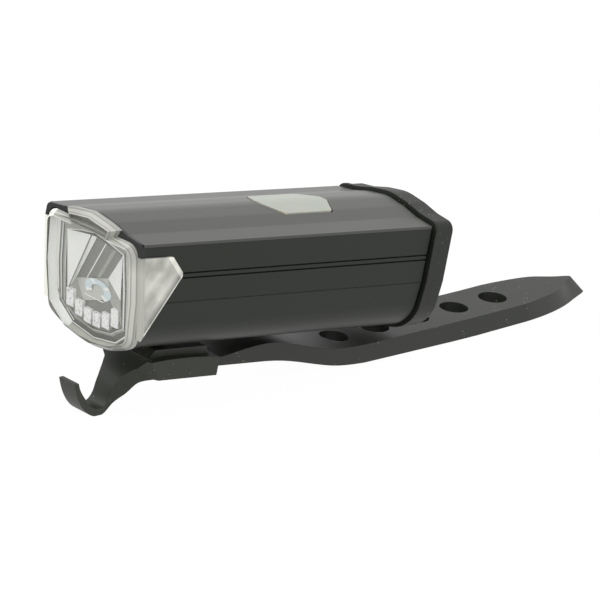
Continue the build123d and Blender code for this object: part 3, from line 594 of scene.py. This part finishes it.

# %% [markdown]
# ## The mirror's facets
# Inside the mouth the mirror falls into a few large panels round a tray, each with a painted reflection
# in one tone. Their corners have names, so that neighbours share them and no gap opens. Two panels are
# striped with painted reflections, which stands for the narrow mirrors and their reflections.

# %% The mirror's facets
BOWL_CORNERS = {
    "top_left": (-8.9, 2.1, -4.2),
    "fold_top": (-1.5, 2.3, -3.1),
    "fold_foot": (-9.1, 2.5, -17.9),
    "panel_top": (0.6, 2.6, -3.1),
    "top_right": (8.9, 2.1, -4.5),
    "shelf_left": (-7.7, 4.0, -14.9),
    "shelf_right": (2.4, 4.0, -11.8),
    "right_low": (8.3, 2.3, -14.7),
    "tray_left": (-5.0, 3.6, -19.2),
    "tray_right": (3.4, 3.6, -16.2),
    "pan_left": (-4.0, 3.2, -19.6),
    "pan_right": (2.8, 3.2, -18.1),
    "low_left": (-9.0, 2.2, -21.0),
    "low_right": (9.0, 2.2, -20.4),
    "keel": (0, 2.2, -23.6),
}


def panel(paint, *names):
    """A facet between named corners of the bowl."""
    facets.add([BOWL_CORNERS[name] for name in names], paint)


def striped(edge, other, stripes):
    """Stripes across the strip between two edges, which are given by the names of their ends."""
    (top, foot), (other_top, other_foot) = (
        [BOWL_CORNERS[name] for name in names] for names in (edge, other)
    )
    for (start, paint), (end, _) in zip(stripes, stripes[1:]):
        facets.add([
            between(top, other_top, start), between(top, other_top, end),
            between(foot, other_foot, end), between(foot, other_foot, start),
        ], paint)


panel("white", "top_left", "fold_top", "fold_foot")
striped(
    ("fold_top", "fold_foot"), ("panel_top", "shelf_left"),
    [(0.0, "dark"), (0.16, "white"), (0.8, "dark"), (1.0, None)],
)
striped(
    ("panel_top", "shelf_left"), ("top_right", "shelf_right"),
    [(0.0, "dim"), (0.30, "white"), (0.34, "dim"), (0.62, "grey"), (0.74, "dim"), (1.0, None)],
)
panel("white", "top_right", "shelf_right", "right_low")
panel("pale", "shelf_left", "shelf_right", "tray_right", "tray_left")
panel("dim", "tray_left", "tray_right", "pan_right", "pan_left")
panel("grey", "fold_foot", "shelf_left", "tray_left", "low_left")
panel("grey", "shelf_right", "right_low", "low_right", "tray_right")
panel("dim", "low_left", "tray_left", "pan_left", "keel")
panel("dim", "keel", "pan_left", "pan_right", "low_right")
panel("dim", "low_right", "pan_right", "tray_right")
print("facets with the mirror:", len(facets.facets))

# %% [markdown]
# ## The ring of light on the tray
#
# The dome of the light source shows in the tray as a painted reflection: an open pale blue ring with
# painted white glints, over a thin painted bright line. Both are painted facets just in front of the tray.

# %% The ring of light
RING_MIDDLE = (-0.3, 3.5, -15.2)
RING_WIDE = 4.3
RING_TALL = 2.3
RING_HOLE = 0.48
RING_START = -60
RING_END = 215
RING_STEPS = 16
GLINT_EVERY = 5
LINE_DEPTH = 3.45
LINE_CORNERS = [(-4.6, -17.6), (3.0, -17.6), (3.0, -17.35), (-4.6, -17.35)]

x, ring_depth, z = RING_MIDDLE
for step in range(RING_STEPS):
    quad = []
    for size, corner in ((1.0, step), (1.0, step + 1), (RING_HOLE, step + 1), (RING_HOLE, step)):
        turn = math.radians(RING_START + (RING_END - RING_START) * corner / RING_STEPS)
        quad.append((
            x + RING_WIDE * size * math.cos(turn), ring_depth, z + RING_TALL * size * math.sin(turn)
        ))
    facets.add(quad, "blue" if step % GLINT_EVERY else "white")
facets.add([(x, LINE_DEPTH, z) for x, z in LINE_CORNERS], "white")

bowl = facets.build("bright_bowl", nodes["reflector"]["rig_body"])
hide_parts("reflector")
print("bowl facets:", len(bowl.data.polygons))

# %% [markdown]
# ## The row of prisms
#
# Below the lamp's light source stands a row of six stepped prisms, higher at the ends than in the middle.
# They repeat, so a Geometry Nodes tree makes them: a line of points, bent into an arch by its own sums, and
# a block on each point, stretched by how far out it stands. The tree ends in real geometry with a material,
# and a plain mesh is taken from it.

# %% A finish for the prisms
# The prisms are clear; their pale speckled paint is painted glitter of the light passing through them.
prism_glass = Finish("prism_glass")
painted_glitter = prism_glass.add(
    "ShaderNodeTexNoise", {},
    {"Vector": prism_glass.where(), "Scale": 1500.0, "Detail": 3.0, "Roughness": 0.7},
)
spots = prism_glass.add(
    "ShaderNodeValToRGB", {"stops": [(0.33, 0.35), (0.42, 0.85), (0.6, 1.0)]}, {"Fac": painted_glitter}
)
prism_glass.set({"Base Color": spots, "Roughness": 0.15})
print("nodes in the prism glass:", len(prism_glass.tree.nodes))


# %% A tree for the prisms
def prism_tree(finish):
    """Blocks along a line that is bent into an arch, higher towards the ends."""
    tree = bpy.data.node_groups.new("row_of_prisms", "GeometryNodeTree")
    tree.interface.new_socket("Count", in_out="INPUT", socket_type="NodeSocketInt")
    for name in ("Pitch", "Width", "Height", "Thickness", "Sag", "Growth", "Lean"):
        tree.interface.new_socket(name, in_out="INPUT", socket_type="NodeSocketFloat")
    tree.interface.new_socket("Geometry", in_out="OUTPUT", socket_type="NodeSocketGeometry")
    bench = Bench(tree)
    entry = tree.nodes.new("NodeGroupInput")
    size = {socket.name: Wire(bench, socket) for socket in entry.outputs if socket.name}
    step = bench.add("ShaderNodeCombineXYZ", {}, {"X": size["Pitch"]})
    first = bench.add("ShaderNodeCombineXYZ", {}, {"X": (size["Count"] - 1) * size["Pitch"] * -0.5})
    line = bench.add(
        "GeometryNodeMeshLine", {"mode": "OFFSET"},
        {"Count": size["Count"], "Start Location": first, "Offset": step},
    )
    out = bench.split(bench.add("GeometryNodeInputPosition", {}, {}))[0]
    rise = out * out * size["Sag"]
    bent = bench.add("ShaderNodeCombineXYZ", {}, {"Y": rise * size["Lean"], "Z": rise})
    arch = bench.add("GeometryNodeSetPosition", {}, {"Geometry": line, "Offset": bent})
    block = bench.add("GeometryNodeMeshCube", {}, {"Size": (1, 1, 1)})
    stretch = bench.add("ShaderNodeCombineXYZ", {}, {
        "X": size["Width"], "Y": size["Thickness"], "Z": size["Height"] + out * out * size["Growth"],
    })
    turn = bench.add("ShaderNodeCombineXYZ", {}, {"X": math.radians(RAKE_ANGLE)})
    blocks = bench.add(
        "GeometryNodeInstanceOnPoints", {},
        {"Points": arch, "Instance": block, "Rotation": turn, "Scale": stretch},
    )
    real = bench.add("GeometryNodeRealizeInstances", {}, {"Geometry": blocks})
    painted = bench.add("GeometryNodeSetMaterial", {}, {"Geometry": real, "Material": finish.material})
    leave = tree.nodes.new("NodeGroupOutput")
    bench.feed(leave.inputs["Geometry"], painted)
    return tree


tree = prism_tree(prism_glass)
print("prism tree nodes:", len(tree.nodes))

# %% The prisms in the bowl
PRISM_X = -0.6
PRISM_DEPTH = 2.6
PRISM_DROP = 21.6
PRISM_SIZES = {
    "Count": 6, "Pitch": 2.9 * MM, "Width": 2.3 * MM, "Height": 3.1 * MM, "Thickness": 0.9 * MM,
    "Sag": 0.045 / MM, "Growth": 0.018 / MM, "Lean": -RAKE,
}

carrier = placed("prism_carrier", bpy.data.meshes.new("prism_carrier"))
maker = carrier.modifiers.new("prisms", "NODES")
maker.node_group = tree
for item in tree.interface.items_tree:
    if item.in_out == "INPUT":
        maker[item.identifier] = PRISM_SIZES[item.name]
mesh = bpy.data.meshes.new_from_object(carrier.evaluated_get(bpy.context.evaluated_depsgraph_get()))
bpy.data.objects.remove(carrier)
mesh.transform(Matrix.Translation((
    PRISM_X * MM,
    (FRONT_Y - LENS_LEAD + PRISM_DEPTH + RAKE * PRISM_DROP) * MM,
    (LEDGE_Z - PRISM_DROP) * MM,
)))
prisms = placed("stepped_prisms", mesh)
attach(prisms, nodes["light_shelf"]["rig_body"])
print("prism faces:", len(mesh.polygons))

# %% [markdown]
# ## The floor
#
# The photograph shows the lamp lying on white, on the tip of its hook and along its strap, so the floor is
# pitched until it touches both. It is grey to the lamps' light, so it doesn't flood the black body from
# below, and it keeps the object's shadow. To the camera, to reflections and through glass it glows white.

# %% The floor
FLOOR_PITCH = 5.97
FLOOR_UNDER_HOOK = -9.5
HOOK_Y = -18.9
FLOOR_REACH = 3
FLOOR_GREY = 0.5
GLOW_SHARE = 0.93
GLOW_STRENGTH = 1.05

floor_mesh = bpy.data.meshes.new("pale_floor")
slope = math.tan(math.radians(FLOOR_PITCH))
corners = []
for side, end in ((-1, -1), (1, -1), (1, 1), (-1, 1)):
    x, y = side * FLOOR_REACH, end * FLOOR_REACH
    corners.append((x, y, FLOOR_UNDER_HOOK * MM + slope * (y - HOOK_Y * MM)))
floor_mesh.from_pydata(corners, [], [(0, 1, 2, 3)])
floor = placed("pale_floor", floor_mesh)

floor_finish = Finish("floor_white")
floor_finish.set({
    "Base Color": (FLOOR_GREY, FLOOR_GREY, FLOOR_GREY, 1), "Roughness": 0.9, "Specular IOR Level": 0.0,
})
path = floor_finish.tree.nodes.new("ShaderNodeLightPath")
by_camera, by_gloss, through_glass = (
    Wire(floor_finish, path.outputs[name])
    for name in ("Is Camera Ray", "Is Glossy Ray", "Is Transmission Ray")
)
seen = by_camera.highest(by_gloss).highest(through_glass)
skin = Wire(floor_finish, floor_finish.shader.outputs[0])
glow = floor_finish.add("ShaderNodeEmission", {}, {"Strength": GLOW_STRENGTH})
mix = floor_finish.add("ShaderNodeMixShader", {}, [seen * GLOW_SHARE, skin, glow])
floor_finish.feed(floor_finish.tree.nodes["Material Output"].inputs[0], mix)
floor_mesh.materials.append(floor_finish.material)
print("floor pitch", FLOOR_PITCH)

# %% [markdown]
# ## World and lamps
#
# A white world is what gives black gloss its pale sheen. Two square lamps shape the light: a stronger one
# from the far side above, which draws the ridge of the cover, and a weak one for the near flank.

# %% World and lamps
LAMP_AIM = (0, 0.03, 0.02)
LAMP_SIZE = 0.7

world = bpy.data.worlds.new("white_studio")
bpy.context.scene.world = world
world.use_nodes = True
sky = world.node_tree.nodes["Background"]
sky.inputs["Color"].default_value = (1, 1, 1, 1)
sky.inputs["Strength"].default_value = 1.0

for name, place, power in (("key", (-0.5, -0.5, 0.8), 4.0), ("fill", (0.8, -0.3, 0.5), 1.5)):
    light = bpy.data.lights.new(name, "AREA")
    light.size = LAMP_SIZE
    light.energy = power
    softbox = placed(name, light)
    softbox.location = place
    softbox.rotation_euler = (Vector(LAMP_AIM) - Vector(place)).to_track_quat("-Z", "Y").to_euler()
print("lamps:", len(bpy.data.lights))

# %% [markdown]
# ## Camera
#
# The camera was solved from the photograph: its azimuth, height, lean, distance and length of lens.

# %% Camera
AZIMUTH, ELEVATION, LEAN = 42.399, 15.335, -11.348
DISTANCE, LENS = 850.85, 227.385
TARGET = Vector((0.0, 41.642, 12.402))
NEAREST = 0.01

azimuth, elevation, lean = (math.radians(v) for v in (AZIMUTH, ELEVATION, LEAN))
away = Vector((
    math.sin(azimuth) * math.cos(elevation), -math.cos(azimuth) * math.cos(elevation), math.sin(elevation)
))
level = Vector((math.cos(azimuth), math.sin(azimuth), 0))
upright = away.cross(level)
right = level * math.cos(lean) - upright * math.sin(lean)
up = level * math.sin(lean) + upright * math.cos(lean)

optics = bpy.data.cameras.new("camera")
optics.lens = LENS
optics.clip_start = NEAREST
camera = placed("camera", optics)
camera.matrix_world = Matrix.Translation((TARGET + away * DISTANCE) * MM) @ Matrix((
    (right.x, up.x, away.x), (right.y, up.y, away.y), (right.z, up.z, away.z)
)).to_4x4()
bpy.context.scene.camera = camera
bpy.context.scene.view_settings.view_transform = "Standard"
print("camera at", [round(v, 3) for v in camera.matrix_world.translation])
